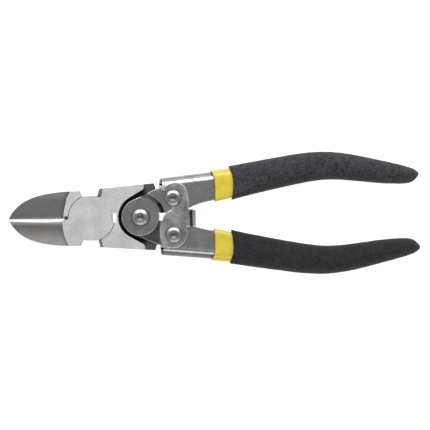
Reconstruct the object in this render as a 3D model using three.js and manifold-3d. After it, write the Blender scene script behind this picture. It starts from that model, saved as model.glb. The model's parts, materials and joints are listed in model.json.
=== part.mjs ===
// Compound tile nippers, closed and latched, lying flat on their grips.
// Millimetres, +Z up. The jaw pivot is the origin of the drawing frame: jaws toward -X,
// handles toward +X, the latch on the +Z face. The last lines move the drawing frame so
// that the finished tool is centred over the origin and rests on Z = 0.
import * as THREE from 'three';
import Module from 'manifold-3d';
import { mergeVertices } from 'three/addons/utils/BufferGeometryUtils.js';

const wasm = await Module();
wasm.setup();

// ---- driving dimensions -------------------------------------------------------------
const GAP = 0.3; // air between touching pieces
const JAW_LENGTH = 40.7; // jaw pivot to blade tip
const JAW_HALF = 5; // half thickness of the jaws
const JAW_DEPTH = 13.35; // blade back above the cutting line
const DISC_R = 11.2; // lap disc round the jaw pivot
const PLATE = 1.6; // sheet the handles and the latch are pressed from
const TANG_HALF = 2.8; // half thickness of the thin end of each jaw
const HANDLE_PIVOT_X = 23.9; // rivet that joins the two handles
const TANG_PIVOT_X = 40; // rivets that join a handle to a jaw
const TANG_PIVOT_Y = 9;
const TANG_REACH = 14.8; // thin end of a jaw, out to the inside of the handle's bend
const SCOOP_R = 5.3; // thin end of a jaw, in to the handle pivot
const SHANK_R = 2.6;
const STEP_R = 1.6; // thinner front end of the two tang rivets
const EAR_R = 9; // handle ears round the handle pivot
const GRIP_HALF = 8.2; // half thickness of the grips
const GRIP_END = 159.8; // jaw pivot to the end of the grips
const SLEEVE_START = 60; // where the yellow layer starts
const CHANNEL_END = 148; // end of the steel inside the grip
const TAB_HEIGHT = 7.4; // thumb tab above the latch plate
const JAW_OPENING = 11; // degrees between the jaws, fully open
const HANDLE_RATIO = 0.828; // handle turn on its jaw, per degree of jaw opening
const LATCH_RATIO = 5.2; // latch turn on its handle, per degree of jaw opening

// ---- levels that follow from them ---------------------------------------------------
const CHEEK_IN = TANG_HALF + GAP;
const CHEEK_OUT = CHEEK_IN + PLATE;
const PAD_IN = CHEEK_OUT + GAP;
const PAD_OUT = PAD_IN + PLATE;
const HEAD_IN = PAD_OUT + GAP;
const BEND_OUT = 4.5;
const BEND_IN = BEND_OUT - PLATE;
const BORE_R = SHANK_R + GAP;
const SIDE = { upper: 1, lower: -1 };

// ---- small helpers ------------------------------------------------------------------
const rad = (degrees) => degrees * Math.PI / 180;

function arc(cx, cy, r, from, to, steps) {
  const points = [];
  for (let i = 0; i <= steps; i += 1) {
    const a = rad(from + (to - from) * i / steps);
    points.push([cx + r * Math.cos(a), cy + r * Math.sin(a)]);
  }
  return points;
}

function smooth(points, steps) {
  const curve = new THREE.SplineCurve(points.map(([x, y]) => new THREE.Vector2(x, y)));
  return curve.getPoints(steps).map((p) => [p.x, p.y]);
}

const outline = (points) => new THREE.Shape(points.map(([x, y]) => new THREE.Vector2(x, y)));

function plate(points, z0, z1) {
  const geometry = new THREE.ExtrudeGeometry(outline(points), { depth: z1 - z0, bevelEnabled: false });
  return geometry.translate(0, 0, z0);
}

function pillow(points, half, inset, rise, segments) {
  const options = {
    depth: 2 * (half - rise),
    bevelSize: inset,
    bevelOffset: -inset,
    bevelThickness: rise,
    bevelSegments: segments,
  };
  const geometry = new THREE.ExtrudeGeometry(outline(points), options);
  return geometry.translate(0, 0, rise - half);
}

function turned(profile, x, y, segments = 36) {
  const points = profile.map(([r, z]) => new THREE.Vector2(r, z));
  const geometry = new THREE.LatheGeometry(points, segments);
  return geometry.rotateX(Math.PI / 2).translate(x, y, 0);
}

function rod(r, z0, z1, x, y, segments = 36) {
  return turned([[0, z0], [r, z0], [r, z1], [0, z1]], x, y, segments);
}

function ring(inner, outer, z0, z1, x, y) {
  return turned([[inner, z0], [outer, z0], [outer, z1], [inner, z1], [inner, z0]], x, y);
}

// Slopes a prism so that its flat ends lie on z = slopeX * x + slopeY * y + lift.
function slanted(geometry, slopeX, slopeY, lift) {
  const m = new THREE.Matrix4();
  m.set(1, 0, 0, 0, 0, 1, 0, 0, slopeX, slopeY, 1, lift, 0, 0, 0, 1);
  return geometry.applyMatrix4(m);
}

function welded(geometry) {
  const plain = geometry.clone();
  plain.deleteAttribute('normal');
  plain.deleteAttribute('uv');
  const merged = mergeVertices(plain, 1e-4);
  const p = merged.attributes.position;
  const kept = [];
  let volume = 0;
  for (let i = 0; i < merged.index.count; i += 3) {
    const ids = [0, 1, 2].map((k) => merged.index.getX(i + k));
    if (ids[0] === ids[1] || ids[1] === ids[2] || ids[0] === ids[2]) {
      continue;
    }
    const [a, b, c] = ids.map((id) => new THREE.Vector3().fromBufferAttribute(p, id));
    volume += a.dot(b.cross(c));
    kept.push(...ids);
  }
  merged.setIndex(volume < 0 ? kept.reverse() : kept);
  return merged;
}

function body(geometry) {
  const g = welded(geometry);
  const vertProperties = new Float32Array(g.attributes.position.array);
  const triVerts = new Uint32Array(g.index.array);
  return new wasm.Manifold(new wasm.Mesh({ numProp: 3, vertProperties, triVerts }));
}

const cut = (solid, ...tools) => tools.reduce((left, tool) => left.subtract(body(tool)), solid);

function faces(solid) {
  const mesh = solid.getMesh();
  const geometry = new THREE.BufferGeometry();
  geometry.setAttribute('position', new THREE.BufferAttribute(mesh.vertProperties, 3));
  geometry.setIndex(new THREE.BufferAttribute(mesh.triVerts, 1));
  return geometry;
}

const tool = new THREE.Group();

function add(name, geometry, color, roughness, metalness) {
  const flat = geometry.toNonIndexed();
  flat.computeVertexNormals();
  const mesh = new THREE.Mesh(flat, new THREE.MeshStandardMaterial({ color, roughness, metalness }));
  mesh.name = name;
  tool.add(mesh);
}

// ---- linkage ------------------------------------------------------------------------
function spun(x, y, degrees) {
  const c = Math.cos(rad(degrees));
  const s = Math.sin(rad(degrees));
  return [x * c - y * s, x * s + y * c];
}

// How far the two halves of the handle pivot drift apart as the jaws open by so much.
function pivotDrift(opening) {
  const [ux, uy] = spun(HANDLE_PIVOT_X - TANG_PIVOT_X, -TANG_PIVOT_Y, HANDLE_RATIO * opening);
  const [cx, cy] = spun(TANG_PIVOT_X, -TANG_PIVOT_Y, -opening);
  const turn = -opening * (1 + HANDLE_RATIO);
  const [lx, ly] = spun(HANDLE_PIVOT_X - TANG_PIVOT_X, TANG_PIVOT_Y, turn);
  return Math.hypot(TANG_PIVOT_X + ux - cx - lx, TANG_PIVOT_Y + uy - cy - ly);
}

function largestDrift() {
  let largest = 0;
  for (let opening = 0; opening <= JAW_OPENING; opening += 0.25) {
    largest = Math.max(largest, pivotDrift(opening));
  }
  return largest;
}

// Where the upper tang rivet sits as seen from the turning latch.
function rivetFromLatch(opening) {
  const [cx, cy] = spun(TANG_PIVOT_X, -TANG_PIVOT_Y, -opening);
  const turn = opening * (1 + HANDLE_RATIO + LATCH_RATIO);
  const [x, y] = spun(TANG_PIVOT_X - cx, TANG_PIVOT_Y - cy, turn);
  return [TANG_PIVOT_X + x, y - TANG_PIVOT_Y];
}

// ---- jaws ---------------------------------------------------------------------------
// Drawn with the blade up, the tang down and the half disc at the back (-Z).
function bladeOutline(tipX, edge) {
  const start = new THREE.Vector2(tipX, edge[0][1] + 0.15);
  const bend1 = new THREE.Vector2(tipX + 4.8, 9.1);
  const bend2 = new THREE.Vector2(-27.9, JAW_DEPTH - 0.1);
  const end = new THREE.Vector2(-5.8, JAW_DEPTH);
  const back = new THREE.CubicBezierCurve(start, bend1, bend2, end);
  const backPoints = back.getPoints(20).map((p) => [p.x, p.y]);
  const heel = [[-13.3, 0.2], [-3, 0.2]];
  return [...backPoints, [-4.9, 10.9], [-3, 9], ...heel.reverse(), ...edge.slice().reverse()];
}

function tangOutline() {
  const outer = [[3, -10.3], [4, -14.2], [15, -15.1], [30.6, -16.3], [31.4, -13.6]];
  const boss = arc(TANG_PIVOT_X, -TANG_PIVOT_Y, TANG_REACH - TANG_PIVOT_Y, -126, 142, 16);
  const flatAt = 68;
  const scoop = arc(HANDLE_PIVOT_X, 0, SCOOP_R, -flatAt, -177, 8);
  return [...outer, [34.5, -13.8], ...boss, ...scoop, [6, -GAP], [4, -5]];
}

function discOutline(r) {
  return [...arc(0, 0, r, -76.7, 76.7, 24), ...arc(0, 0, r, 103.3, 256.7, 24)];
}

// The tang is milled thin from this line on, on both faces.
function recessOutline() {
  const round = arc(HANDLE_PIVOT_X, 0, 10.9, -180, -120, 8);
  const step = [[25.2, -13.3], [25.8, -14.2], [25.9, -20]];
  return [...round, ...step, [60, -20], [60, 6], [13, 6]];
}

// The hollow that the grinding wheel leaves: steeper toward the back of the blade.
function wheelCut(edge, wheelStop) {
  const [[x0, y0], [x1, y1]] = [edge[0], edge[edge.length - 1]];
  const run = (y1 - y0) / (x1 - x0);
  const profile = [[-3, 0], [-0.2, 0], [1.1, 0.58]];
  for (let d = 2.6; d < 17; d += 1.5) {
    profile.push([d, 0.58 + 0.1 * (d - 1.1) + 0.0135 * (d - 1.1) ** 2]);
  }
  const section = new THREE.ExtrudeGeometry(outline([...profile, [18, 12], [-3, 12]]), {
    depth: 34,
    bevelEnabled: false,
  });
  const place = new THREE.Matrix4();
  place.set(0, 0, 1, -44, 1, 0, run, y0 - run * (44 + x0), 0, 1, 0, 0, 0, 0, 0, 1);
  const ground = plate([...wheelStop, [-43, -2], [-43, 15]], 0, 12);
  return body(section.applyMatrix4(place)).intersect(body(ground));
}

// A lap at both ends of the line where the jaws meet, so that no light passes through.
function lapped(solid) {
  const low = GAP / 2;
  const lip = 0.35;
  const clear = lip + GAP;
  const end = HANDLE_PIVOT_X - SCOOP_R - GAP;
  const tang = plate([[12.2, -1], [end, -1], [end, lip], [12.2, lip]], low, JAW_HALF);
  const heel = plate([[-13.3, -lip], [-11.6, -lip], [-11.6, 1.2], [-13.3, 1.2]], -JAW_HALF, -low);
  const joined = solid.add(body(tang)).add(body(heel));
  const past = end + 0.7;
  const tangRoom = plate([[12, -clear], [past, -clear], [past, 2], [12, 2]], -9, low);
  const heelRoom = plate([[-13.6, -1], [-11.2, -1], [-11.2, clear], [-13.6, clear]], -low, 9);
  return cut(joined, tangRoom, heelRoom);
}

function jaw(tipX, edge, wheelStop, pocketDepth, shoulder) {
  let solid = body(plate(bladeOutline(tipX, edge), -JAW_HALF, JAW_HALF));
  solid = solid.add(body(plate(tangOutline(), -JAW_HALF, JAW_HALF)));
  solid = cut(solid, rod(DISC_R + GAP, -GAP / 2, 9, 0, 0, 60));
  solid = solid.add(body(plate(discOutline(DISC_R), -JAW_HALF, -GAP / 2)));
  solid = lapped(solid);
  solid = cut(solid, plate([[9.95, -2.2], [12.2, -2.2], [12.2, 2.2], [9.95, 2.2]], -9, 9));
  solid = cut(solid, rod(5 + GAP, -4.1, 9, 0, 0, 40));
  solid = cut(solid, rod(BORE_R, -9, 9, TANG_PIVOT_X, -TANG_PIVOT_Y));
  solid = cut(solid, plate(recessOutline(), TANG_HALF, 9), plate(recessOutline(), -9, -TANG_HALF));
  const pocket = [[-13, -1], [-11.6, -1], [-11.6, pocketDepth], [-13, pocketDepth]];
  solid = cut(solid, plate(pocket, 2.4, 9), plate(pocket, -9, -2.4));
  const wheel = wheelCut(edge, wheelStop);
  solid = solid.subtract(wheel).subtract(wheel.mirror([0, 0, 1]));
  const corner = [[3.9, -16], [6.6, -16], [6, -10.15], [2.95, -10.15]];
  const front = slanted(plate(corner, 0, 6), 1, 0.24, shoulder);
  const rear = slanted(plate(corner, -6, 0), -1, -0.24, -shoulder);
  return cut(solid, front, rear);
}

function jaws() {
  const steel = [0xb9b9b8, 0.42, 0.85];
  const upperEdge = [[-JAW_LENGTH, 0.3], [-30, 0.2], [-23, 0], [-13.7, 0.1]];
  const lowerEdge = [[0.4 - JAW_LENGTH, 0.6], [-30, 1.3], [-21, 1.6], [-14.2, 1.3]];
  const upperStop = [[-8.9, 15], [-10.2, 13.1], [-11.9, 9.8], [-12.9, 5.3], [-13.5, 2], [-13.7, -2]];
  const lowerStop = [[-10.5, 15], [-11.5, 13], [-13, 9.3], [-13.9, 5.2], [-14.2, 1.5], [-14.3, -2]];
  add('upper_blade_jaw', faces(jaw(-JAW_LENGTH, upperEdge, upperStop, 1.25, 2.87)), ...steel);
  const lower = faces(jaw(0.4 - JAW_LENGTH, lowerEdge, lowerStop, 0.6, 2.45)).rotateX(Math.PI);
  add('lower_blade_jaw', lower, ...steel);
  add('jaw_pivot_pin', welded(rod(5, -3.8, 3.8, 0, 0, 40)), 0x9c9c9c, 0.4, 0.9);
}

// ---- handles ------------------------------------------------------------------------
const BACK = [
  [33.7, 18.8], [45, 19.85], [58.5, 21.2], [68, 22], [80, 23.5], [92, 25.3],
  [104, 26.8], [114, 27.2], [126, 26], [138, 23.4], [CHANNEL_END, 20.9],
];
const FRONT = [
  [CHANNEL_END, 16.2], [138, 17], [126, 18.2], [114, 18.9], [104, 18.2], [92, 15.8],
  [80, 12.6], [68, 9.4], [60, 7.5], [55, 6.5], [50, 5], [47.5, 4], [44, 2.6], [41, 1.9],
];

// Outline of the pressed channel, swollen by so much for the space round it.
function channelOutline(swell) {
  const back = smooth(BACK, 30).map(([x, y]) => [x, y + swell]);
  const front = smooth(FRONT, 39).map(([x, y]) => [x, y - swell]);
  const nose = [[38, 1.8], [36.3, 1.8], [36.3, 15.4], [34.5, 14.6], [32.9, 14.3]];
  return [...back, [CHANNEL_END + swell, 19], ...front, ...nose];
}

// A long block whose back edge is bent round like the channel.
function bentBlock(inset, half, bend, segments = 7) {
  const back = smooth(BACK, 30).map(([x, y]) => [x, y - inset]);
  const shape = [[20, 17.4 - inset], ...back, [170, 14 - inset], [170, -16], [20, -16]];
  return pillow(shape, half, bend, bend, segments);
}

// The flat cheek that runs from the channel out to the handle pivot.
function cheekOutline() {
  const nose = arc(HANDLE_PIVOT_X - 0.1, 0, EAR_R, 11.5, -244, 28);
  return [...nose, [36, 15.3], [38, 15.3], [38, 1.8]];
}

// Full sheet that steps outward near the handle pivot to clear the other handle's ear.
function steppedSheet(z) {
  const r = EAR_R + 0.5;
  const under = [[0, PAD_IN * z], [r, PAD_IN * z], [r + 0.9, CHEEK_IN * z], [26, CHEEK_IN * z]];
  const over = [[26, CHEEK_OUT * z], [r + 2.2, CHEEK_OUT * z], [r + 1, PAD_OUT * z], [0, PAD_OUT * z]];
  return turned([...under, ...over], HANDLE_PIVOT_X, 0, 64);
}

function channel() {
  const shell = body(bentBlock(0, CHEEK_OUT, BEND_OUT)).subtract(body(bentBlock(PLATE, CHEEK_IN, BEND_IN)));
  const solid = shell.intersect(body(plate(channelOutline(0), -9, 9)));
  return cut(solid, plate([[30, 15], [34.8, 15], [34.8, 21], [30, 21]], 2.6, 9));
}

function handleBores(pivotR) {
  const a = rod(pivotR, -9, 9, HANDLE_PIVOT_X, 0);
  const b = rod(BORE_R, -9, 9, TANG_PIVOT_X, TANG_PIVOT_Y);
  return [a, b];
}

function upperHandle() {
  let solid = channel();
  for (const z of [1, -1]) {
    const cheek = body(plate(cheekOutline(), -9, 9));
    solid = solid.add(body(steppedSheet(z)).intersect(cheek));
  }
  return cut(solid, ...handleBores(BORE_R));
}

function lowerHandle() {
  let solid = channel();
  solid = solid.add(body(plate(cheekOutline(), CHEEK_IN, CHEEK_OUT)));
  solid = solid.add(body(plate(cheekOutline(), -CHEEK_OUT, -CHEEK_IN)));
  return cut(solid, ...handleBores(BORE_R + largestDrift()));
}

function handles() {
  const steel = [0x9a9a9c, 0.3, 0.95];
  add('upper_handle_channel', faces(upperHandle()), ...steel);
  // The lower handle is turned over; the notch in its bend goes back to the +Z face.
  const lower = faces(lowerHandle().mirror([0, 1, 0]));
  add('lower_handle_channel', lower, ...steel);
}

// ---- grips --------------------------------------------------------------------------
// Each station is [x, back y, front y, half height, corner fullness].
const GRIP = [
  [67, 23.8, 7.1, 6.9, 6.5], [70, 24.25, 7.8, 7.1, 6], [74, 24.95, 8.8, 7.4, 5], [80, 25.9, 10.1, 7.9, 3.4],
  [86, 26.85, 11.4, GRIP_HALF, 2.8], [92, 27.75, 12.6, GRIP_HALF, 2.5], [98, 28.7, 13.8, GRIP_HALF, 2.4],
  [104, 29.4, 14.9, GRIP_HALF, 2.4], [110, 29.75, 15.75, GRIP_HALF, 2.4], [116, 29.7, 16.1, GRIP_HALF, 2.4],
  [122, 29.05, 15.85, GRIP_HALF, 2.4], [128, 28.05, 15.25, GRIP_HALF, 2.4], [134, 26.75, 14.55, GRIP_HALF, 2.4],
  [140, 25.3, 13.85, GRIP_HALF, 2.4], [146, 23.9, 13.45, GRIP_HALF, 2.4], [150, 22.85, 13.3, GRIP_HALF, 2.4],
  [153, 22, 13.3, 7.5, 2.3], [155.5, 21.2, 13.7, 6.5, 2.2], [157.5, 20.4, 14.6, 5.1, 2.1],
  [158.8, 19.4, 15.9, 3.4, 2], [GRIP_END, 18.6, 17.2, 1.3, 2],
];

// A closed loft: a cylinder whose rings are moved to the stations.
function loft(stations, radial) {
  const rows = stations.length - 1;
  const geometry = new THREE.CylinderGeometry(1, 1, rows, radial, rows);
  const p = geometry.attributes.position;
  const half = Math.PI / radial;
  for (let i = 0; i < p.count; i += 1) {
    const row = Math.round(p.getY(i) + rows / 2);
    const [x, back, front, height, fullness] = stations[row];
    const r = Math.hypot(p.getX(i), p.getZ(i));
    const a = Math.atan2(p.getZ(i), p.getX(i)) + half;
    const c = Math.cos(a);
    const s = Math.sin(a);
    const wide = Math.sign(c) * Math.abs(c) ** (2 / fullness) * r;
    const top = Math.cos(half) ** (2 / fullness);
    const tall = Math.sign(s) * Math.abs(s) ** (2 / fullness) * r / top;
    p.setXYZ(i, x, (back + front) / 2 + wide * (back - front) / 2, tall * height);
  }
  return geometry;
}

const RIM = [[67.3, 30], [67.5, 23], [69, 19.5], [69.4, 15.5], [68.8, 10], [68.2, 7], [68, 0]];

function sleeveOutline(swell) {
  const back = [[59, 22.1], [62, 22.45], [66.6, 22.95], [70, 23.15]];
  const front = [[70, 8.9], [66.6, 8], [62, 7], [SLEEVE_START - 0.2, 6.6]];
  const lip = [[60.3, 10], [60.3, 16.8], [59.8, 19.8]];
  const rear = 72 + swell;
  const lifted = back.map(([x, y]) => [x, y + swell]);
  const dropped = front.map(([x, y]) => [x, y - swell]);
  return [...lifted, [rear, 23.3 + swell], [rear, 9.4 - swell], ...dropped, ...lip];
}

function sleeveSolid(swell) {
  const half = CHEEK_OUT + GAP + 0.9 + swell;
  return body(pillow(sleeveOutline(swell), half, 0.7, 1.4, 4));
}

function core() {
  const block = body(bentBlock(-GAP, CHEEK_OUT + GAP, BEND_OUT, 4));
  return block.intersect(body(plate(channelOutline(GAP), -9, 9)));
}

function grips() {
  for (const name of ['upper', 'lower']) {
    const inner = core();
    const sleeve = sleeveSolid(0).subtract(inner);
    let grip = body(loft(GRIP, 28));
    grip = cut(grip, plate([...RIM, [50, 0], [50, 30]], -12, 12));
    grip = grip.subtract(inner).subtract(sleeveSolid(GAP));
    const turn = name === 'upper' ? 0 : Math.PI;
    add(`${name}_yellow_sleeve`, faces(sleeve).rotateX(turn), 0xdcc93e, 0.35, 0);
    add(`${name}_black_grip`, faces(grip).rotateX(turn), 0x35343a, 0.85, 0);
  }
}

// ---- rivets -------------------------------------------------------------------------
// A low domed head with a punched dimple.
function crown(r, z) {
  const ball = 7.4;
  const rise = (at) => 0.35 + Math.sqrt(ball ** 2 - at ** 2) - Math.sqrt(ball ** 2 - r ** 2);
  const dome = [r - 0.25, r - 0.7, r - 1.2, 2.5, 2.1].map((at) => [at, z + rise(at)]);
  const top = z + rise(2.1);
  const dimple = [[1.8, top - 0.02], [1.5, top - 0.16], [1.1, top - 0.5], [0.6, top - 0.66], [0, top - 0.7]];
  return [[r, z], [r, z + 0.28], ...dome, ...dimple];
}

function rivets() {
  const steel = [0x8d8d90, 0.3, 0.95];
  const washerTop = HEAD_IN + 0.6;
  const tail = [[0, -GRIP_HALF], [3.4, -GRIP_HALF], [3.9, -7.7], [3.9, -HEAD_IN]];
  const shank = [[SHANK_R, -HEAD_IN], [SHANK_R, washerTop + GAP]];
  const pivot = [...tail, ...shank, ...crown(4.3, washerTop + GAP)];
  add('handle_pivot_rivet', welded(turned(pivot, HANDLE_PIVOT_X, 0, 40)), ...steel);
  add('handle_pivot_washer', welded(ring(BORE_R, 4.7, HEAD_IN, washerTop, HANDLE_PIVOT_X, 0)), ...steel);
  add('handle_pivot_spacer', welded(ring(BORE_R, 3.6, -TANG_HALF, TANG_HALF, HANDLE_PIVOT_X, 0)), ...steel);
  const rearWasher = CHEEK_OUT + GAP;
  for (const [name, side] of Object.entries(SIDE)) {
    const y = side * TANG_PIVOT_Y;
    const back = rearWasher + 0.8 + GAP;
    const foot = [[0, -back - 1.2], [3.2, -back - 1.2], [3.9, -back - 0.7], [3.9, -back]];
    const stem = [[SHANK_R, -back], [SHANK_R, CHEEK_OUT], [STEP_R, CHEEK_OUT], [STEP_R, HEAD_IN]];
    const profile = [...foot, ...stem, ...crown(4.1, HEAD_IN)];
    add(`${name}_tang_rivet`, welded(turned(profile, TANG_PIVOT_X, y, 40)), ...steel);
    const washer = ring(BORE_R, 4.5, -rearWasher - 0.8, -rearWasher, TANG_PIVOT_X, y);
    add(`${name}_rivet_washer`, welded(washer), ...steel);
    const collar = ring(STEP_R + GAP, SHANK_R, PAD_IN, PAD_OUT, TANG_PIVOT_X, y);
    add(side === 1 ? 'latch_catch_collar' : 'latch_bush', welded(collar), ...steel);
  }
}

// ---- latch --------------------------------------------------------------------------
function latchSlot() {
  const centres = [];
  for (let i = 0; i <= 24; i += 1) {
    centres.push(rivetFromLatch(JAW_OPENING * i / 24));
  }
  const left = [];
  const right = [];
  const r = SHANK_R + GAP;
  centres.forEach(([x, y], i) => {
    const [ax, ay] = centres[Math.max(i - 1, 0)];
    const [bx, by] = centres[Math.min(i + 1, 24)];
    const length = Math.hypot(bx - ax, by - ay);
    const nx = -(by - ay) / length * r;
    const ny = (bx - ax) / length * r;
    left.push([x + nx, y + ny]);
    right.push([x - nx, y - ny]);
  });
  const [[sx, sy]] = centres;
  const facing = Math.atan2(left[0][1] - sy, left[0][0] - sx) * 180 / Math.PI;
  const round = arc(sx, sy, r, facing, facing + 180, 12);
  return [...round.slice(1, -1), ...right, ...left.reverse()];
}

function latch() {
  const heel = [[33.2, -7], [33.3, -10], [33.9, -12], [35, -13.8], [36.5, -14.8], [38.5, -15.3], [40.2, -15.4]];
  const side = [[42, -15.1], [44, -13.8], [45.3, -12], [46.2, -10], [46.6, -7.5], [46.2, -5.2], [48, -5.2]];
  const edge = [[48, 3.2], [47.2, 4], [47.5, 6], [47.5, 8], [46.8, 12], [46, 14], [45, 15.2], [43.5, 16.2]];
  const hook = [
    [42, 16.7], [40.5, 16.6], [38.5, 16], [36.5, 15], [35, 13.8], [34.3, 13.4], [34.8, 12.2], [36, 11],
  ];
  const throat = [
    [36, 7], [39.3, 5.2], [39.2, 3.4], [37.7, 2.7], [36.5, 1.7], [35.5, 0.6], [34.2, -2.5], [33.5, -4.5],
  ];
  let solid = body(plate([...heel, ...side, ...edge, ...hook, ...throat], PAD_IN, PAD_OUT));
  const bendZ = PAD_OUT + 0.8;
  const top = PAD_OUT + TAB_HEIGHT;
  const under = [[45, PAD_IN], ...arc(48.4, bendZ, 2.4, -90, 0, 5), [50.8, top]];
  const over = [[49.2, top], ...arc(48.4, bendZ, 0.8, 0, -90, 3), [45, PAD_OUT]];
  const tab = plate([...under, ...over], 0, 8.3).rotateX(Math.PI / 2).translate(0, 3.1, 0);
  solid = solid.add(body(tab));
  solid = cut(solid, plate(latchSlot(), 0, 20));
  solid = cut(solid, rod(BORE_R, 0, 20, TANG_PIVOT_X, -TANG_PIVOT_Y));
  add('latch_plate', faces(solid), 0x86868a, 0.35, 0.95);
}

// ---- opening spring -----------------------------------------------------------------
function spring() {
  const wire = 0.5;
  const r = 3.6 + GAP + wire;
  const top = 2.1;
  const points = [new THREE.Vector3(HANDLE_PIVOT_X + 8.6, r - 0.7, top)];
  points.push(new THREE.Vector3(HANDLE_PIVOT_X + 4, r - 0.2, top));
  for (let i = 0; i <= 54; i += 1) {
    const a = rad(80 + 920 * i / 54);
    const z = top * (1 - 2 * i / 54);
    points.push(new THREE.Vector3(HANDLE_PIVOT_X + r * Math.cos(a), r * Math.sin(a), z));
  }
  points.push(new THREE.Vector3(HANDLE_PIVOT_X + 4, 0.2 - r, -top));
  points.push(new THREE.Vector3(HANDLE_PIVOT_X + 8.6, 0.7 - r, -top));
  const path = new THREE.CatmullRomCurve3(points);
  const section = outline(arc(0, 0, wire, 0, 315, 7));
  const options = { steps: 96, bevelEnabled: false, extrudePath: path };
  add('opening_spring', welded(new THREE.ExtrudeGeometry(section, options)), 0x77777a, 0.4, 0.95);
}

jaws();
handles();
grips();
rivets();
latch();
spring();
tool.position.set(-(GRIP_END - JAW_LENGTH) / 2, 0, GRIP_HALF);

const nippers = new THREE.Group();
nippers.add(tool);
export default nippers;
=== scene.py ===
# %% [markdown]
# # Compound tile nippers
# The tool lies flat, closed and latched. Two ground jaws turn on a lap joint, and two
# pressed steel handles drive them through short links, so the hand's force is multiplied
# twice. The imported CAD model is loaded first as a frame: it fixes every place and size,
# and everything made here is in metres in that same frame.

# %% Load the frame
import json
import math
import bmesh
import bpy
from mathutils import Matrix, Vector, noise


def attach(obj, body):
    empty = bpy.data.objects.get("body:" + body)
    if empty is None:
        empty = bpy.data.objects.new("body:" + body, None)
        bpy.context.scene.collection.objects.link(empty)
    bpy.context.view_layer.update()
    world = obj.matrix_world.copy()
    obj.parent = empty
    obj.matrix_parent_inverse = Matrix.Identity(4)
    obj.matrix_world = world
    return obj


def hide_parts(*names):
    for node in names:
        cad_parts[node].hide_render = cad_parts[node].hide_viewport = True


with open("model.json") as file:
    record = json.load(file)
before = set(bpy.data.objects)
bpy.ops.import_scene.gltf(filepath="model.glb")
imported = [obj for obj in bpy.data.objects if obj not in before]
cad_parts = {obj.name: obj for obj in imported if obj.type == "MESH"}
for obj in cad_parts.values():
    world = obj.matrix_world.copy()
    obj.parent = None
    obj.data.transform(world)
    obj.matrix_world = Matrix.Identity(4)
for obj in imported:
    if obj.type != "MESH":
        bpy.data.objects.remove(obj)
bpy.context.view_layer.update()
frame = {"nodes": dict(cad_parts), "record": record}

MM = 0.001
JAW_PIVOT = Vector((-59.55, 0.0, 8.2))  # millimetres in the frame, halfway through the tool

# %% [markdown]
# ## Drawing in millimetres from the jaw pivot
# A toolmaker's drawing of nippers measures everything from the jaw pivot. These two
# helpers turn such a measure into a point of the frame, in metres.


# %% Places on the tool
def place(along, across, level=0.0):
    return (JAW_PIVOT + Vector((along, across, level))) * MM


HANDLE_PIVOT = (23.9, 0.0)
TANG_PIVOTS = {"upper": (40.0, 9.0), "lower": (40.0, -9.0)}
print("handle pivot at", tuple(round(c, 4) for c in place(*HANDLE_PIVOT)))

# %% [markdown]
# ## Camera
# The view is straight down onto the open table. A long lens far away keeps the two
# handles parallel-looking, as a catalogue view does, and a small roll lets the grips
# lie slightly higher than the jaws.

# %% Camera
VIEW_WIDTH = 209.5  # millimetres across the view
WIDTH_LEVEL = 10.0  # millimetres above the table, where that width is measured
VIEW_HEIGHT = 1100.0
VIEW_CENTRE = (0.55, 0.14)
VIEW_ROLL = -1.357  # degrees
SENSOR_WIDTH = 36.0
camera_data = bpy.data.cameras.new("catalogue_camera")
camera_data.type = "PERSP"
camera_data.sensor_width = SENSOR_WIDTH
camera_data.lens = SENSOR_WIDTH * (VIEW_HEIGHT - WIDTH_LEVEL) / VIEW_WIDTH
camera = bpy.data.objects.new("catalogue_camera", camera_data)
camera.location = (VIEW_CENTRE[0] * MM, VIEW_CENTRE[1] * MM, VIEW_HEIGHT * MM)
camera.rotation_euler = (0.0, 0.0, math.radians(VIEW_ROLL))
bpy.context.scene.collection.objects.link(camera)
bpy.context.scene.camera = camera
print("lens", round(camera_data.lens, 1), "mm")

# %% [markdown]
# ## Table and light
# Steel is only as good as what it mirrors. The room is bright near the horizon and
# darker overhead, so flat polished steel looks dark and every bend catches a white line.
# One large soft lamp stands past the upper handle, and two narrow ones opposite draw the
# two lines along the lower handle. The table is a light table: it glows a little, so no
# shadow falls on it and the gaps in the tool read as pure white.


# %% Table and light
def soft_lamp(name, spot, size, watts):
    """A flat lamp that faces the middle of the tool."""
    data = bpy.data.lights.new(name, "AREA")
    data.shape = "RECTANGLE"
    data.size, data.size_y = size
    data.energy = watts
    lamp = bpy.data.objects.new(name, data)
    lamp.location = spot
    lamp.rotation_euler = (Vector() - Vector(spot)).to_track_quat("-Z", "Y").to_euler()
    bpy.context.scene.collection.objects.link(lamp)


soft_lamp("key_lamp", spot=(0.0, 0.45, 0.5), size=(1.0, 0.38), watts=4.8)
soft_lamp("top_strip", spot=(0.05, -0.12, 0.7), size=(0.8, 0.06), watts=0.22)
soft_lamp("near_strip", spot=(0.05, -0.55, 0.46), size=(0.9, 0.16), watts=1.1)

room = bpy.data.worlds.new("studio_room")
room.use_nodes = True
bpy.context.scene.world = room
room_nodes = room.node_tree.nodes
room_links = room.node_tree.links
room_sky = room_nodes["Background"]
room_place = room_nodes.new("ShaderNodeTexCoord")
room_split = room_nodes.new("ShaderNodeSeparateXYZ")
room_ramp = room_nodes.new("ShaderNodeValToRGB")
ROOM_STOPS = [(0.0, 1.0), (0.35, 0.85), (0.7, 0.42), (0.9, 0.3), (1.0, 0.28)]  # height, grey
while len(room_ramp.color_ramp.elements) < len(ROOM_STOPS):
    room_ramp.color_ramp.elements.new(0.5)
for stop, (height, grey) in zip(room_ramp.color_ramp.elements, ROOM_STOPS):
    stop.position, stop.color = height, (grey, grey, grey, 1.0)
room_links.new(room_place.outputs["Generated"], room_split.inputs[0])
room_links.new(room_split.outputs["Z"], room_ramp.inputs["Fac"])
room_links.new(room_ramp.outputs["Color"], room_sky.inputs["Color"])
room_sky.inputs["Strength"].default_value = 1.0
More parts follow.
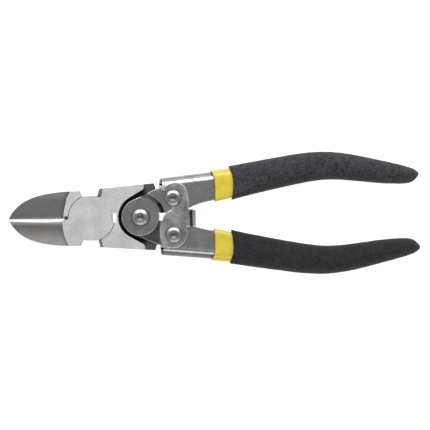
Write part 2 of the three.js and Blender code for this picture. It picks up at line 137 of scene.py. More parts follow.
bpy.context.scene.view_settings.view_transform = "Standard"

TABLE_REACH = 3.0  # metres from the middle to each side
bm = bmesh.new()
bmesh.ops.create_grid(bm, x_segments=1, y_segments=1, size=TABLE_REACH)
table_mesh = bpy.data.meshes.new("table")
bm.to_mesh(table_mesh)
bm.free()
table = bpy.data.objects.new("table", table_mesh)
bpy.context.scene.collection.objects.link(table)
print("lamps and table are set")

# %% [markdown]
# ## A small kit for finishes
# A finish is a tree of shader nodes. Written out by hand it is long and hard to read, so
# a number in the tree is wrapped in `Amount`, and ordinary Python arithmetic on it adds
# the Math nodes. `Finish.node` makes every other node: settings first, then sockets.


# %% Finish kit
class Amount:
    """One number that varies over a surface."""

    def __init__(self, finish, socket):
        self.finish, self.socket = finish, socket

    def _do(self, operation, *others, flip=False):
        values = [self, *others]
        if flip:
            values.reverse()
        return self.finish.node(
            "ShaderNodeMath", {"operation": operation}, dict(enumerate(values)))

    def __add__(self, other): return self._do("ADD", other)
    def __radd__(self, other): return self._do("ADD", other)
    def __sub__(self, other): return self._do("SUBTRACT", other)
    def __rsub__(self, other): return self._do("SUBTRACT", other, flip=True)
    def __mul__(self, other): return self._do("MULTIPLY", other)
    def __rmul__(self, other): return self._do("MULTIPLY", other)
    def __abs__(self): return self._do("ABSOLUTE")

    def sine(self):
        return self._do("SINE")

    def step(self, low, high):
        """Climbs smoothly from 0 at low to 1 at high."""
        settings = {"interpolation_type": "SMOOTHSTEP"}
        inputs = {"Value": self, "From Min": low, "From Max": high}
        return self.finish.node("ShaderNodeMapRange", settings, inputs)


class Finish:
    """A Principled material that is built up in plain steps."""

    def __init__(self, name, color, roughness, metallic, **constants):
        self.material = bpy.data.materials.new(name)
        self.material.use_nodes = True
        self.tree = self.material.node_tree
        self.surface = self.tree.nodes["Principled BSDF"]
        self.set("Base Color", (*color, 1.0))
        self.set("Roughness", roughness)
        self.set("Metallic", metallic)
        for socket, value in constants.items():
            self.set(socket.replace("_", " "), value)

    def set(self, socket, value):
        target = self.surface.inputs[socket]
        if isinstance(value, Amount):
            value = value.socket
        if isinstance(value, bpy.types.NodeSocket):
            self.tree.links.new(value, target)
        else:
            target.default_value = value

    def node(self, kind, settings=None, inputs=None, output=0):
        made = self.tree.nodes.new(kind)
        for key, value in (settings or {}).items():
            setattr(made, key, value)
        for key, value in (inputs or {}).items():
            if isinstance(value, Amount):
                value = value.socket
            if isinstance(value, bpy.types.NodeSocket):
                self.tree.links.new(value, made.inputs[key])
            else:
                made.inputs[key].default_value = value
        out = made.outputs[output]
        return Amount(self, out) if out.type == "VALUE" else out

    def spot(self, centre=(0.0, 0.0, 0.0), squeeze=(1.0, 1.0, 1.0)):
        """Place on the piece in millimetres, measured from a centre given in metres."""
        here = self.node("ShaderNodeTexCoord", output=3)
        settings = {"operation": "SUBTRACT"}
        moved = self.node("ShaderNodeVectorMath", settings, {0: here, 1: tuple(centre)})
        size = tuple(s / MM for s in squeeze)
        return self.node("ShaderNodeVectorMath", {"operation": "MULTIPLY"}, {0: moved, 1: size})

    def noise(self, spot, scale, detail=2.0, roughness=0.5):
        settings = {"noise_dimensions": "3D"}
        inputs = {"Vector": spot, "Scale": scale, "Detail": detail, "Roughness": roughness}
        return self.node("ShaderNodeTexNoise", settings, inputs)

    def tint(self, amount, low, high):
        """A colour between low, where the amount is 0, and high, where it is 1."""
        settings = {"data_type": "RGBA"}
        low, high = [(*c, 1.0) if isinstance(c, tuple) else c for c in (low, high)]
        inputs = {0: amount, 6: low, 7: high}
        return self.node("ShaderNodeMix", settings, inputs, output=2)

    def axis(self, spot, name):
        return self.node("ShaderNodeSeparateXYZ", {}, {0: spot}, output="XYZ".index(name))

    def distance(self, centre):
        """Millimetres from an upright line through a place on the tool."""
        settings = {"operation": "MULTIPLY"}
        inputs = {0: self.spot(place(*centre)), 1: (1.0, 1.0, 0.0)}
        flat = self.node("ShaderNodeVectorMath", settings, inputs)
        return self.node("ShaderNodeVectorMath", {"operation": "LENGTH"}, {0: flat}, output=1)

    def soft_edges(self, radius_mm):
        """The rounded-over normal, and how near the surface is to an edge, from 0 to 1."""
        soft = self.node("ShaderNodeBevel", {"samples": 6}, {"Radius": radius_mm * MM})
        true = self.node("ShaderNodeNewGeometry", output=3)
        inputs = {0: soft, 1: true}
        settings = {"operation": "DOT_PRODUCT"}
        likeness = self.node("ShaderNodeVectorMath", settings, inputs, output=1)
        return soft, (1.0 - likeness).step(0.02, 0.22)

    def bump(self, height, depth_mm, strength=1.0, normal=None):
        inputs = {"Height": height, "Distance": depth_mm * MM, "Strength": strength}
        if normal is not None:
            inputs["Normal"] = normal
        return self.node("ShaderNodeBump", {}, inputs)


print("finish kit ready")

# %% [markdown]
# ## The table's finish
# A matt grey sheet with the faintest paper tooth. It also glows: the glow and the lamps
# together reach white, so the table is even and the tool's shadow is lost in it.

# %% Table finish
paper = Finish("white_paper", (0.9, 0.9, 0.9), 0.95, 0.0)
tooth = paper.noise(paper.spot(), 0.4)
paper.set("Base Color", paper.tint(tooth, (0.29, 0.29, 0.29), (0.31, 0.31, 0.31)))
paper.set("Emission Color", (1.0, 1.0, 1.0, 1.0))
paper.set("Emission Strength", 0.9)
table_mesh.materials.append(paper.material)
print("table finish:", paper.material.name)

# %% [markdown]
# ## Ground steel for the jaws
# The jaw faces are surface-ground and blasted: pale, satin, with a fine mottle. The
# blades are hollow-ground afterwards and look much darker, because their slope sends
# the light away; that darkness is painted into their colour as shade, and the lower
# blade is a darker, shaded copy of the upper. Both are one steel, so both finishes share
# their recipe. The side walls and chamfers are painted shade too: a darker copy of the
# face steel.


# %% Jaw finishes
def ground_steel(name, pale, dark, roughness, edge_glow):
    steel = Finish(name, pale, roughness, 0.9)
    soft, edge = steel.soft_edges(0.22)
    mottle = steel.noise(steel.spot(), 1.5, 4.0, 0.65)
    streaks = steel.noise(steel.spot(squeeze=(0.5, 4.0, 1.0)), 1.0, 3.0, 0.6)
    cloud = steel.noise(steel.spot(), 0.12, 2.0, 0.5)
    mix = (mottle * 0.45 + streaks * 0.2 + cloud * 0.35).step(0.34, 0.66)
    body = steel.tint(mix, dark, pale)
    # edges painted lighter: partly worn bright, partly a painted highlight on the rounds
    worn_and_highlit = tuple(min(1.0, c * edge_glow) for c in pale)
    steel.set("Base Color", steel.tint(edge * 0.6, body, worn_and_highlit))
    steel.set("Roughness", roughness + (mottle - 0.5) * 0.16)
    steel.set("Normal", steel.bump(mottle, 0.012, 0.35, soft))
    return steel.material


JAW_FACE = ground_steel("jaw_face_steel", (0.70, 0.70, 0.695), (0.50, 0.50, 0.496), 0.5, 1.1)
# painted shade: side walls and chamfers get this darker copy of the face steel
JAW_SIDE = ground_steel("jaw_side_steel", (0.22, 0.22, 0.215), (0.13, 0.13, 0.127), 0.42, 1.8)


def blade_steel(name, light):
    """Hollow-ground steel with fine lines across the blade; its dark grey is painted shade, and
    light scales it.
    """
    steel = Finish(name, (0.15, 0.145, 0.135), 0.38, 0.9)
    soft, edge = steel.soft_edges(0.05)
    lines = steel.noise(steel.spot(squeeze=(5.0, 0.3, 1.0)), 1.0, 3.0, 0.6)
    cloud = steel.noise(steel.spot(), 0.1, 2.0, 0.5)
    mix = (lines * 0.35 + cloud * 0.65).step(0.3, 0.7)
    dark = tuple(c * light for c in (0.12, 0.116, 0.112))
    pale = tuple(c * light for c in (0.155, 0.151, 0.149))
    steel.set("Base Color", steel.tint(mix, dark, pale))
    steel.set("Roughness", 0.34 + lines * 0.12)
    steel.set("Normal", steel.bump(lines, 0.008, 0.25, soft))
    return steel.material


# painted light and shade: a lighter copy for the upper blade, a darker one for the lower
BLADE = {
    "upper": blade_steel("upper_blade_steel", light=1.42),
    "lower": blade_steel("lower_blade_steel", light=0.86),
}
print("jaw finishes:", JAW_FACE.name, JAW_SIDE.name, sorted(BLADE))

# %% [markdown]
# ## Milled tangs
# The thin end of each jaw is milled down and keeps its dark oil-and-oxide skin. The
# narrow, deep gap round the handle's eye is painted nearly black as shade.


# %% Tang finish
def milled_tang():
    steel = Finish("milled_tang_steel", (0.12, 0.12, 0.11), 0.45, 0.85)
    soft, edge = steel.soft_edges(0.2)
    grain = steel.noise(steel.spot(), 1.3, 4.0, 0.65)
    along = steel.axis(steel.spot(place(0.0, 0.0)), "X")
    across = abs(steel.axis(steel.spot(place(0.0, 0.0)), "Y"))
    # painted shade: this is 0 in the deep gap round the handle's eye, which is painted nearly
    # black
    less_shaded = (along * 0.7 + across * 0.3).step(20.6, 23.6)
    body = steel.tint(grain.step(0.3, 0.7), (0.075, 0.074, 0.066), (0.135, 0.134, 0.12))
    gap_shaded = steel.tint(less_shaded, (0.006, 0.006, 0.005), body)
    # outside the gap the edges are painted lighter: partly wear, partly a painted highlight
    steel.set("Base Color", steel.tint(edge * less_shaded * 0.4, gap_shaded, (0.3, 0.3, 0.29)))
    steel.set("Roughness", 0.4 + grain * 0.2)
    steel.set("Normal", steel.bump(grain, 0.015, 0.4, soft))
    return steel.material


TANG_STEEL = milled_tang()
print("tang finish:", TANG_STEEL.name)

# %% [markdown]
# ## Pressed and stamped steel
# The handles are bent from bright sheet, and the latch is stamped from it. Rolling
# leaves fine lines along the sheet and tumbling leaves a fine mottle. The edges are
# painted lighter: partly the polish of use, partly a painted highlight on their rounds.


# %% Sheet and rivet finishes
def sheet_steel(name, pale, dark, roughness, squeeze, edge_mm, painted_shade=None):
    steel = Finish(name, pale, roughness, 1.0)
    soft, edge = steel.soft_edges(edge_mm)
    lines = steel.noise(steel.spot(squeeze=squeeze), 1.0, 3.0, 0.6)
    speck = steel.noise(steel.spot(), 1.4, 4.0, 0.75)
    cloud = steel.noise(steel.spot(), 0.18, 2.0, 0.5)
    mix = (lines * 0.3 + speck * 0.3 + cloud * 0.4).step(0.34, 0.66)
    # edges painted lighter: partly worn bright, partly a painted highlight on the rounds
    worn_and_highlit = tuple(min(1.0, c * 1.9) for c in pale)
    body = steel.tint(edge, steel.tint(mix, dark, pale), worn_and_highlit)
    # painted shade: the places the mask picks are painted near black
    if painted_shade is not None:
        body = steel.tint(painted_shade(steel, edge), body, (0.035, 0.035, 0.032))
    steel.set("Base Color", body)
    steel.set("Roughness", roughness + (speck - 0.5) * 0.2)
    steel.set("Normal", steel.bump(speck, 0.008, 0.22, soft))
    return steel.material


def between(value, low, high, blur):
    return value.step(low - blur, low + blur) * (1.0 - value.step(high - blur, high + blur))


BACK_SLOPE, BACK_START = 0.097, 15.53  # the straight back of the handles near the rivets


def past_back(steel, side):
    """Millimetres past the back edge of the pressed handle, near the rivets."""
    spot = steel.spot(place(0.0, 0.0))
    return steel.axis(spot, "Y") * side - steel.axis(spot, "X") * BACK_SLOPE - BACK_START


def step_and_back_shade(steel, edge):
    """Painted shade in the step round the upper handle's eye, and a painted dark reflection line
    along its back bend.
    """
    eye = between(steel.distance(HANDLE_PIVOT), 9.9, 11.85, 0.2) * 0.92
    return eye + between(past_back(steel, 1.0), -1.2, -0.8, 0.12) * 0.7


def corner_and_back_shade(steel, edge):
    """Painted shade on the lower cheek, in the corner between the eye and the latch, and on the
    outer part of its back bend.
    """
    spot = steel.spot(place(0.0, 0.0))
    along = steel.axis(spot, "X")
    inner = steel.axis(spot, "Y").step(-8.0, -2.0) * 0.3
    web = past_back(steel, -1.0).step(-2.4, -2.0) * 0.7
    corner = (1.0 - along.step(32.0, 34.5)) * (0.7 + inner) * (1.0 - edge * 0.9)
    return corner * (1.0 - web) + web


def tab_bend_shade(steel, edge):
    """Painted shade in the inside of the thumb tab's bend."""
    return between(steel.axis(steel.spot(place(0.0, 0.0)), "X"), 47.8, 49.35, 0.2) * 0.95


SHEET = ((0.47, 0.47, 0.48), (0.32, 0.32, 0.33), 0.25, (0.25, 4.0, 4.0), 0.5)
HANDLE_STEEL = {
    "upper": sheet_steel("upper_handle_steel", *SHEET, painted_shade=step_and_back_shade),
    "lower": sheet_steel("lower_handle_steel", *SHEET, painted_shade=corner_and_back_shade),
}
PLAIN = (1.5, 1.5, 1.5)
LATCH_STEEL = sheet_steel(
    "stamped_latch_steel", (0.58, 0.58, 0.575), (0.19, 0.19, 0.186), 0.35, PLAIN, 0.9,
    painted_shade=tab_bend_shade)
SPRING_STEEL = sheet_steel(
    "drawn_spring_wire", (0.40, 0.40, 0.40), (0.28, 0.28, 0.28), 0.3, PLAIN, 0.1)
# painted shade: the faces inside the channel get a near-black copy of the sheet steel
CHANNEL_SHADE_STEEL = sheet_steel(
    "shaded_inner_steel", (0.08, 0.08, 0.08), (0.03, 0.03, 0.03), 0.5, PLAIN, 0.1)


LATHE_LINES = 14.0  # radians of turning mark in each millimetre of radius


def rivet_steel(name, centre, head):
    """Turned steel round a centre; painted shade darkens the dimple and the rim of the head."""
    steel = Finish(name, (0.42, 0.42, 0.43), 0.26, 1.0)
    soft, edge = steel.soft_edges(0.25)
    radius = steel.distance(centre)
    turning = (radius * LATHE_LINES).sine() * 0.5 + 0.5
    speck = steel.noise(steel.spot(), 1.5, 4.0, 0.75)
    mix = (turning * 0.2 + speck * 0.8).step(0.32, 0.68)
    # painted shade in the dimple and at the rim of the head
    dimple_and_rim_shade = (1.0 - radius.step(1.3, 2.4)) * 0.72 + radius.step(head - 0.75, head - 0.15) * 0.7
    bright = steel.tint(mix, (0.20, 0.20, 0.21), (0.40, 0.40, 0.41))
    steel.set("Base Color", steel.tint(dimple_and_rim_shade, bright, (0.05, 0.05, 0.05)))
    steel.set("Roughness", 0.24 + speck * 0.16)
    steel.set("Normal", steel.bump(turning * 0.3 + speck * 0.7, 0.014, 0.35, soft))
    return steel.material


RIVET = {"handle": rivet_steel("handle_rivet_steel", HANDLE_PIVOT, 4.3)}
for side, spot in TANG_PIVOTS.items():
    RIVET[side] = rivet_steel(f"{side}_rivet_steel", spot, 4.1)
print("rivet finishes:", sorted(RIVET))

# %% [markdown]
# ## Finishing the CAD pieces
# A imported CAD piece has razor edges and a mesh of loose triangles. Real steel is
# tumbled after stamping, so each edge is a tiny round that catches light. The piece is
# copied, its doubles are merged, flat triangles are joined, and the sharp edges get a
# narrow bevel. The CAD node itself stays untouched behind the copy.
#
# The pressed handles are the exception. Joined triangles would spoil their bends, so
# they keep their mesh, their edges are softened by the finish alone, and the bend gets
# the normals of the true round, which ends at the back edge in `HANDLE_BACK`.


# %% Edge rounding
def merged_copy(node):
    bm = bmesh.new()
    bm.from_mesh(frame["nodes"][node].data)
    bmesh.ops.remove_doubles(bm, verts=bm.verts, dist=2e-6)
    bmesh.ops.dissolve_degenerate(bm, edges=bm.edges, dist=2e-6)
    return bm


def tumble(bm, width, segments, sharp, keep):
    """Bevels the edges turned more than sharp degrees, except those that keep picks out."""
    picked = []
    for edge in bm.edges:
        if len(edge.link_faces) != 2 or edge.calc_face_angle(0.0) < math.radians(sharp):
            continue
        if keep is None or not keep(edge):
            picked.append(edge)
    bmesh.ops.bevel(
        bm, geom=picked, offset=width * MM, offset_type="OFFSET", affect="EDGES",
        segments=segments, profile=0.5, material=-1, clamp_overlap=True, loop_slide=True,
    )


def finished_piece(bm, name, sharp=40.0):
    for face in bm.faces:
        face.smooth = True
    limit = math.radians(sharp)
    for edge in bm.edges:
        edge.smooth = len(edge.link_faces) == 2 and edge.calc_face_angle(0.0) < limit
    mesh = bpy.data.meshes.new(name)
    bm.to_mesh(mesh)
    bm.free()
    piece = bpy.data.objects.new(name, mesh)
    bpy.context.scene.collection.objects.link(piece)
    return piece


FLAT = math.radians(0.8)  # faces turned less than this are one flat face


def rounded_copy(node, name, width, segments=2, sharp=32.0, keep=None):
    """A copy with tumbled edges of a width in millimetres."""
    bm = merged_copy(node)
    bmesh.ops.dissolve_limit(bm, angle_limit=FLAT, verts=bm.verts, edges=bm.edges)
    tumble(bm, width, segments, sharp, keep)
    piece = finished_piece(bm, name)
    weights = piece.modifiers.new("even_shading", "WEIGHTED_NORMAL")
    weights.keep_sharp = True
    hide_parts(node)
    return piece


def smooth_copy(node, name):
    """A copy for pieces with pressed bends, which would be spoilt by joined triangles."""
    piece = finished_piece(merged_copy(node), name, 30.0)
    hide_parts(node)
    return piece


# The back edge of the upper handle as (along, across); the lower one mirrors it.
HANDLE_BACK = [
    (33.7, 18.8), (45.0, 19.85), (58.5, 21.2), (68.0, 22.0), (80.0, 23.5), (92.0, 25.3),
    (104.0, 26.8), (114.0, 27.2), (126.0, 26.0), (138.0, 23.4), (148.0, 20.9),
]
BEND = 4.5  # radius of the bend
BEND_LEVEL = 0.2  # its centres lie this far above and below the middle of the tool
ON_BEND = 0.3  # how far a point may lie from the true round and still belong to it


def bend_shading(piece, side):
    """Gives the pressed bend the true normals of its round, so its highlight runs clean."""
    mesh = piece.data
    normals = [tuple(corner.vector) for corner in mesh.corner_normals]
    for face in mesh.polygons:
        for index in face.loop_indices:
            spot = mesh.vertices[mesh.loops[index].vertex_index].co / MM - JAW_PIVOT
            along, across = spot.x, spot.y * side
            if not HANDLE_BACK[0][0] < along < HANDLE_BACK[-1][0]:
                continue
            k = max(i for i in range(len(HANDLE_BACK) - 1) if HANDLE_BACK[i][0] <= along)
            (x0, y0), (x1, y1) = HANDLE_BACK[k], HANDLE_BACK[k + 1]
            slope = (y1 - y0) / (x1 - x0)
            past = across - (y0 + slope * (along - x0)) + BEND
            level = spot.z - math.copysign(min(abs(spot.z), BEND_LEVEL), spot.z)
            if past > -0.05 and abs(math.hypot(past, level) - BEND) < ON_BEND:
                normal = Vector((-slope * past, side * past, level)).normalized()
                if normal.dot(face.normal) > 0.8:
                    normals[index] = tuple(normal)
    mesh.normals_split_custom_set(normals)


def body_holding(node):
    for name, nodes in frame["record"]["behaviour"]["bodies"].items():
        if node in nodes:
            return name
    raise KeyError(node)


def fit_out(piece, node, *materials):
    for material in materials:
        piece.data.materials.append(material)
    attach(piece, body_holding(node))
    print(piece.name, len(piece.data.polygons), "faces on", body_holding(node))


# %% [markdown]
# ## Jaws
# Each jaw is one forging: blade, half of the lap disc and tang. Its flat faces are pale,
# the ground blade is dark, and the milled end of the tang, which runs between the
# handle's cheeks, is darker again. The cutting edge itself is left sharp.


# %% Jaws
def is_cutting_edge(edge):
    middle = (edge.verts[0].co + edge.verts[1].co) / 2 / MM - JAW_PIVOT
    return middle.x < -13.0 and abs(middle.y) < 2.6 and abs(middle.z) < 1.4


FLAT_FACE, SIDE_FACE, GROUND_FACE, TANG_FACE = range(4)
BLADE_END = -11.0  # the blade lies before this place along the tool
TANG_START, TANG_LEVEL = 13.0, 3.0  # the milled end lies past the one and within the other
SHOULDER_END, SHOULDER_OUT = 24.0, 12.0  # the shoulder's outer wall isn't milled
CHAMFER = (2.0, 7.0)  # the shoulder's chamfer lies between these places along the tool


def jaw_face(spot, level):
    """Which finish a place on the jaw has; level is 1 on flat faces and 0 on side walls."""
    if spot.x < BLADE_END and 0.3 < level < 0.9999:
        return GROUND_FACE
    shoulder = abs(spot.y) > SHOULDER_OUT and spot.x < SHOULDER_END
    if abs(spot.z) < TANG_LEVEL and spot.x > TANG_START and not shoulder:
        return TANG_FACE
    if level < 0.6 or (CHAMFER[0] < spot.x < CHAMFER[1] and level < 0.8):
        return SIDE_FACE
    return FLAT_FACE


def paint_jaw(mesh):
    for face in mesh.polygons:
        face.material_index = jaw_face(face.center / MM - JAW_PIVOT, abs(face.normal.z))


for side in ("upper", "lower"):
    node = f"{side}_blade_jaw"
    jaw = rounded_copy(node, f"{side}_jaw", 0.12, keep=is_cutting_edge)
    fit_out(jaw, node, JAW_FACE, JAW_SIDE, BLADE[side], TANG_STEEL)
    paint_jaw(jaw.data)
pin = rounded_copy("jaw_pivot_pin", "pivot_pin", 0.2)
fit_out(pin, "jaw_pivot_pin", JAW_SIDE)

# %% [markdown]
# ## Handles, latch, rivets and spring
# The rest of the steel keeps its CAD shape. The handles are smooth copies with the true
# normals of their bends, and the steel inside the channel is painted near black as shade.
# The latch, rivets, washers and spring have the same tumbled edges as the jaws.

# %% Steel pieces
WEB_START = 8.0  # millimetres across: past this, faces that look inward are on the web
UNDER_SKIN = 4.5  # millimetres from the middle; the outer faces lie just past it
for side in ("upper", "lower"):
    node = f"{side}_handle_channel"
    handle = smooth_copy(node, f"{side}_handle")
    bend_shading(handle, 1.0 if side == "upper" else -1.0)
    fit_out(handle, node, HANDLE_STEEL[side], CHANNEL_SHADE_STEEL)
    for face in handle.data.polygons:
        spot = face.center / MM - JAW_PIVOT
        on_cheek = face.normal.z * spot.z < 0.0
        on_web = abs(spot.y) > WEB_START and face.normal.y * spot.y < 0.0
        inside = (on_cheek or on_web) and abs(spot.z) < UNDER_SKIN
        # inside faces take the painted shade of the channel's inside
        face.material_index = 1 if inside else 0
latch = rounded_copy("latch_plate", "latch", 0.3, 3)
fit_out(latch, "latch_plate", LATCH_STEEL)
TURNED_PIECES = {
    "handle": ("handle_pivot_rivet", "handle_pivot_washer", "handle_pivot_spacer"),
    "upper": ("upper_tang_rivet", "upper_rivet_washer", "latch_catch_collar"),
    "lower": ("lower_tang_rivet", "lower_rivet_washer", "latch_bush"),
}
for finish, nodes in TURNED_PIECES.items():
    for node in nodes:
        fitting = rounded_copy(node, f"{node}_turned", 0.1, sharp=50.0)
        fit_out(fitting, node, RIVET[finish])
spring = rounded_copy("opening_spring", "spring_wire", 0.05, 1, sharp=60.0)
fit_out(spring, "opening_spring", SPRING_STEEL)

# %% [markdown]
# ## Dipped grips
# Each handle is dipped twice: first in glossy yellow plastisol, then, less deep, in a
# black one that foams as it cures. The yellow is left showing as a collar. Plastisol
# runs and rounds itself, so neither layer has a sharp edge anywhere.


# %% Dip finishes
def yellow_dip():
    dip = Finish(
        "yellow_plastisol", (0.74, 0.60, 0.055), 0.3, 0.0, Coat_Weight=0.35, Coat_Roughness=0.12)
    cloud = dip.noise(dip.spot(), 0.3, 2.0, 0.5)
    thin, thick = (0.56, 0.44, 0.03), (0.63, 0.50, 0.042)
    dip.set("Base Color", dip.tint(cloud.step(0.3, 0.7), thin, thick))
    dip.set("Roughness", 0.24 + cloud * 0.12)
    dip.set("Normal", dip.bump(cloud, 0.05, 0.2))
    return dip.material


def yellow_rim():
    rim = Finish("yellow_plastisol_edge", (0.2, 0.12, 0.02), 0.45, 0.0)
    cloud = rim.noise(rim.spot(), 0.6, 2.0, 0.5)
    # painted shade for the lip, varied at random between a darker and a lighter brown
    more_shaded, less_shaded = (0.10, 0.055, 0.012), (0.30, 0.2, 0.03)
    rim.set("Base Color", rim.tint(cloud.step(0.3, 0.7), more_shaded, less_shaded))
    rim.set("Roughness", 0.4 + cloud * 0.2)
    return rim.material


def black_foam(name, light):
    """Foamed plastisol, matt and pitted; light scales its grey, so the lower grip is a darker
    copy: painted shade.
    """
    grey, low, high = [
        tuple(c * light for c in colour)
        for colour in ((0.035, 0.034, 0.038), (0.006, 0.006, 0.0075), (0.052, 0.050, 0.060))
    ]
    foam = Finish(name, grey, 0.8, 0.0, Specular_IOR_Level=0.3)
    grain = foam.noise(foam.spot(), 1.5, 5.0, 0.75)
    patch = foam.noise(foam.spot(), 0.35, 3.0, 0.6)
    settings = {"feature": "F1", "distance": "EUCLIDEAN"}
    pores = foam.node("ShaderNodeTexVoronoi", settings, {"Vector": foam.spot(), "Scale": 1.4})
    speck = (grain * 0.75 + patch * 0.25).step(0.4, 0.6)
    foam.set("Base Color", foam.tint(speck, low, high))
    foam.set("Roughness", 0.62 + grain * 0.25)
    foam.set("Normal", foam.bump(grain * 0.65 + pores * 0.35, 0.45, 1.0))
    return foam.material


YELLOW, YELLOW_RIM = yellow_dip(), yellow_rim()
# painted shade: the lower grip is a darker copy of the same foam
BLACK = {
    "upper": black_foam("upper_black_foam", light=1.0),
    "lower": black_foam("lower_black_foam", light=0.45),
}
print("dip finishes:", YELLOW.name, YELLOW_RIM.name, sorted(BLACK))

# %% [markdown]
# ## Sections of a dipped handle
# A dipped layer is easiest to draw as a row of cross-sections. Near the steel the
# section is a box with a broad round at the back of the handle and tighter corners at
# the front; farther out it becomes an oval for the hand. Each section is a circle of
# points moved into place, and neighbouring sections are bridged.


# %% Sections
RING_POINTS = 64
SQUARENESS = 9.0  # how square a section is where its round is 0
LOWER_SOONER = 0.6  # the lower handle was dipped this much deeper, in millimetres
STRAIGHTEN = 7.0  # over this length the rings lose the shape of the front edge
FIRST_GAP = 0.4  # from the last loop of the lip to the first ring
CROWDING = 0.5  # near the lip the rings lie at this share of their usual spacing


def section_point(turn, back, front, half, back_round, front_round):
    """A point of the section: turn runs from 0 to 1 round it, starting at the back."""
    angle = 2.0 * math.pi * turn
    c, s = math.cos(angle), math.sin(angle)
    middle, reach = (back + front) / 2, (back - front) / 2
    share = back_round if c > 0.0 else front_round
    power = 2.0 / (2.0 + SQUARENESS * (1.0 - share) ** 2)
    across = math.copysign(abs(c) ** power, c) * reach
    up = math.copysign(abs(s) ** power, s) * half
    return middle + across, up


def blend_stations(stations, at):
    """Smoothly between the two nearest rows of a table whose first column is the place."""
    last = len(stations) - 1
    i = max(k for k in range(last) if stations[k][0] <= at or k == 0)
    row, following = stations[i], stations[i + 1]
    before, after = stations[max(i - 1, 0)], stations[min(i + 2, last)]
    t = (at - row[0]) / (following[0] - row[0])
    return [
        b + 0.5 * t * (c - a + t * (2 * a - 5 * b + 4 * c - d + t * (3 * (b - c) + d - a)))
        for a, b, c, d in zip(before[1:], row[1:], following[1:], after[1:])
    ]


def curve_at(table, across):
    """Straight-line look-up in a table of (across, along)."""
    for (y0, x0), (y1, x1) in zip(table, table[1:]):
        if across <= y1:
            return x0 + (x1 - x0) * max(0.0, (across - y0) / (y1 - y0))
    return table[-1][1]


def dipped(stations, front_edge, lip, rings, side):
    """Bridged sections: lip rows are (inset, set back from the front edge).

    The front edge isn't square to the handle, so each point's place along the tool
    depends on where it lies across it, and that on the section there. Three rounds
    settle the two.
    """
    sooner = LOWER_SOONER if side == "lower" else 0.0
    bm = bmesh.new()
    loops = []
    rows = [("lip", *row) for row in lip] + [("body", 0.0, x) for x in rings]
    for kind, inset, x in rows:
        loop = bmesh.ops.create_circle(bm, segments=RING_POINTS, radius=1.0)["verts"]
        loops.append(loop)
        for i, vert in enumerate(loop):
            here = x if kind == "body" else front_edge[0][1]
            for _ in range(3):
                back, front, half, kb, kf = blend_stations(stations, here)
                turn = i / RING_POINTS
                y, z = section_point(turn, back - inset, front + inset, half - inset, kb, kf)
                edge_x = curve_at(front_edge, y) - sooner
                if kind == "lip":
                    here = edge_x + x
                else:
                    fade = min(1.0, max(0.0, (x - rings[0]) / STRAIGHTEN))
                    start = edge_x + lip[-1][1] + (x - rings[0]) * CROWDING + FIRST_GAP
                    here = start + (x - start) * fade * fade * (3 - 2 * fade)
            vert.co = (here, y, z)
    edge_sets = []
    for loop in loops:
        inside = set(loop)
        edge_sets.append([e for e in bm.edges if inside.issuperset(e.verts)])
    for near, far in zip(edge_sets, edge_sets[1:]):
        bmesh.ops.bridge_loops(bm, edges=near + far)
    bmesh.ops.contextual_create(bm, geom=edge_sets[0])
    bmesh.ops.contextual_create(bm, geom=edge_sets[-1])
    if side == "lower":
        bmesh.ops.rotate(bm, verts=bm.verts, matrix=Matrix.Rotation(math.pi, 3, "X"))
    for vert in bm.verts:
        vert.co = place(*vert.co)
    bmesh.ops.recalc_face_normals(bm, faces=bm.faces)
    return bm, loops


print("sections have", RING_POINTS, "points")

# %% [markdown]
# ## Yellow collars
# The collar hugs the pressed handle: a broad round at the back, where it catches a long
# highlight, and a nearly square corner at the open front. Its end is a thin rolled lip,
# whose faces that turn towards the jaws are painted dark brown as shade.

# %% Yellow collars
# Stations: along, back, front, half thickness, round at the back, round at the front.
SLEEVE = [
    (58.0, 22.0, 6.3, 5.7, 0.62, 0.2), (62.0, 22.45, 7.0, 5.85, 0.62, 0.2),
    (66.6, 22.95, 8.0, 5.95, 0.62, 0.22), (72.0, 23.3, 9.3, 6.0, 0.62, 0.25),
]
SLEEVE_EDGE = [(6.0, 59.7), (10.0, 60.2), (16.8, 60.1), (19.8, 59.4), (21.4, 58.5), (22.6, 57.9)]
SLEEVE_LIP = [
    (1.2, 2.4), (1.05, 0.5), (0.75, 0.12), (0.35, 0.0), (0.08, 0.12), (0.0, 0.45), (0.0, 1.2),
]
SLEEVE_RINGS = (62.4, 64.5, 66.6, 68.6, 70.6)
SHADED_LIP_END = 61.5  # the lip's turned-in faces get painted shade as far as this
for side in ("upper", "lower"):
    bm, _ = dipped(SLEEVE, SLEEVE_EDGE, SLEEVE_LIP, SLEEVE_RINGS, side)
    collar = finished_piece(bm, f"{side}_yellow_collar", 60.0)
    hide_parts(f"{side}_yellow_sleeve")
    fit_out(collar, f"{side}_yellow_sleeve", YELLOW, YELLOW_RIM)
    for face in collar.data.polygons:
        along = face.center.x / MM - JAW_PIVOT.x
        # painted shade on the lip's faces that turn towards the jaws
        face.material_index = 1 if face.normal.x < -0.2 and along < SHADED_LIP_END else 0

# %% [markdown]
# ## Black grips
# The foam layer starts with a thick rounded rim over the collar, swells to fill the
# palm and tapers to a blunt tip. Foam never cures perfectly even, so the surface is
# moved in and out by a few hundredths of a millimetre.

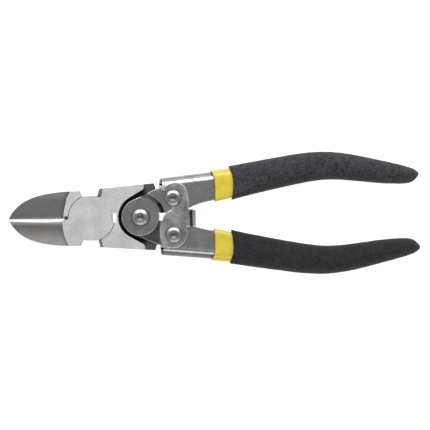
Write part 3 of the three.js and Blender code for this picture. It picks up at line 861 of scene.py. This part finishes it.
# %% Black grips
GRIP = [
    (66.0, 23.6, 6.95, 6.8, 0.64, 0.3), (70.0, 24.25, 7.8, 7.1, 0.66, 0.4),
    (74.0, 24.95, 8.8, 7.4, 0.7, 0.55), (80.0, 25.9, 10.1, 7.9, 0.8, 0.75),
    (86.0, 26.85, 11.4, 8.2, 0.86, 0.84), (92.0, 27.75, 12.6, 8.2, 0.9, 0.9),
    (98.0, 28.7, 13.8, 8.2, 0.9, 0.9), (104.0, 29.4, 14.9, 8.2, 0.9, 0.9),
    (110.0, 29.75, 15.75, 8.2, 0.9, 0.9), (116.0, 29.7, 16.1, 8.2, 0.9, 0.9),
    (122.0, 29.05, 15.85, 8.2, 0.9, 0.9), (128.0, 28.05, 15.25, 8.2, 0.9, 0.9),
    (134.0, 26.75, 14.55, 8.2, 0.9, 0.9), (140.0, 25.3, 13.85, 8.2, 0.9, 0.9),
    (146.0, 23.9, 13.45, 8.2, 0.9, 0.9), (150.0, 22.85, 13.3, 8.15, 0.92, 0.92),
    (153.0, 22.0, 13.3, 7.5, 0.94, 0.94), (155.5, 21.2, 13.7, 6.5, 0.96, 0.96),
    (157.5, 20.4, 14.6, 5.1, 1.0, 1.0), (158.8, 19.4, 15.9, 3.4, 1.0, 1.0),
    (159.8, 18.6, 17.2, 1.3, 1.0, 1.0),
]
GRIP_EDGE = [
    (6.0, 68.0), (8.0, 68.4), (10.0, 68.9), (15.5, 69.4), (19.5, 68.9), (23.0, 67.5), (24.5, 67.0),
]
GRIP_LIP = [
    (0.95, 3.4), (0.75, 0.6), (0.55, 0.12), (0.28, 0.0), (0.05, 0.15), (-0.1, 0.5),
    (-0.1, 1.1), (0.0, 2.0),
]
GRIP_RINGS = [72.0 + 1.5 * i for i in range(52)]
GRIP_RINGS += [150.0, 151.5, 153.0, 154.4, 155.5, 156.6, 157.5, 158.2, 158.8, 159.3, 159.75]
TRUE_RIM = 4  # loops at the mouth that stay even
SWELL, SWELL_SCALE = 0.09, 0.35  # height of the unevenness, and how close its humps lie
for side in ("upper", "lower"):
    bm, loops = dipped(GRIP, GRIP_EDGE, GRIP_LIP, GRIP_RINGS, side)
    bm.normal_update()
    for loop in loops[TRUE_RIM:]:
        for vert in loop:
            vert.co += vert.normal * (noise.noise(vert.co / MM * SWELL_SCALE) * SWELL * MM)
    grip = finished_piece(bm, f"{side}_grip", 60.0)
    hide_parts(f"{side}_black_grip")
    fit_out(grip, f"{side}_black_grip", BLACK[side])
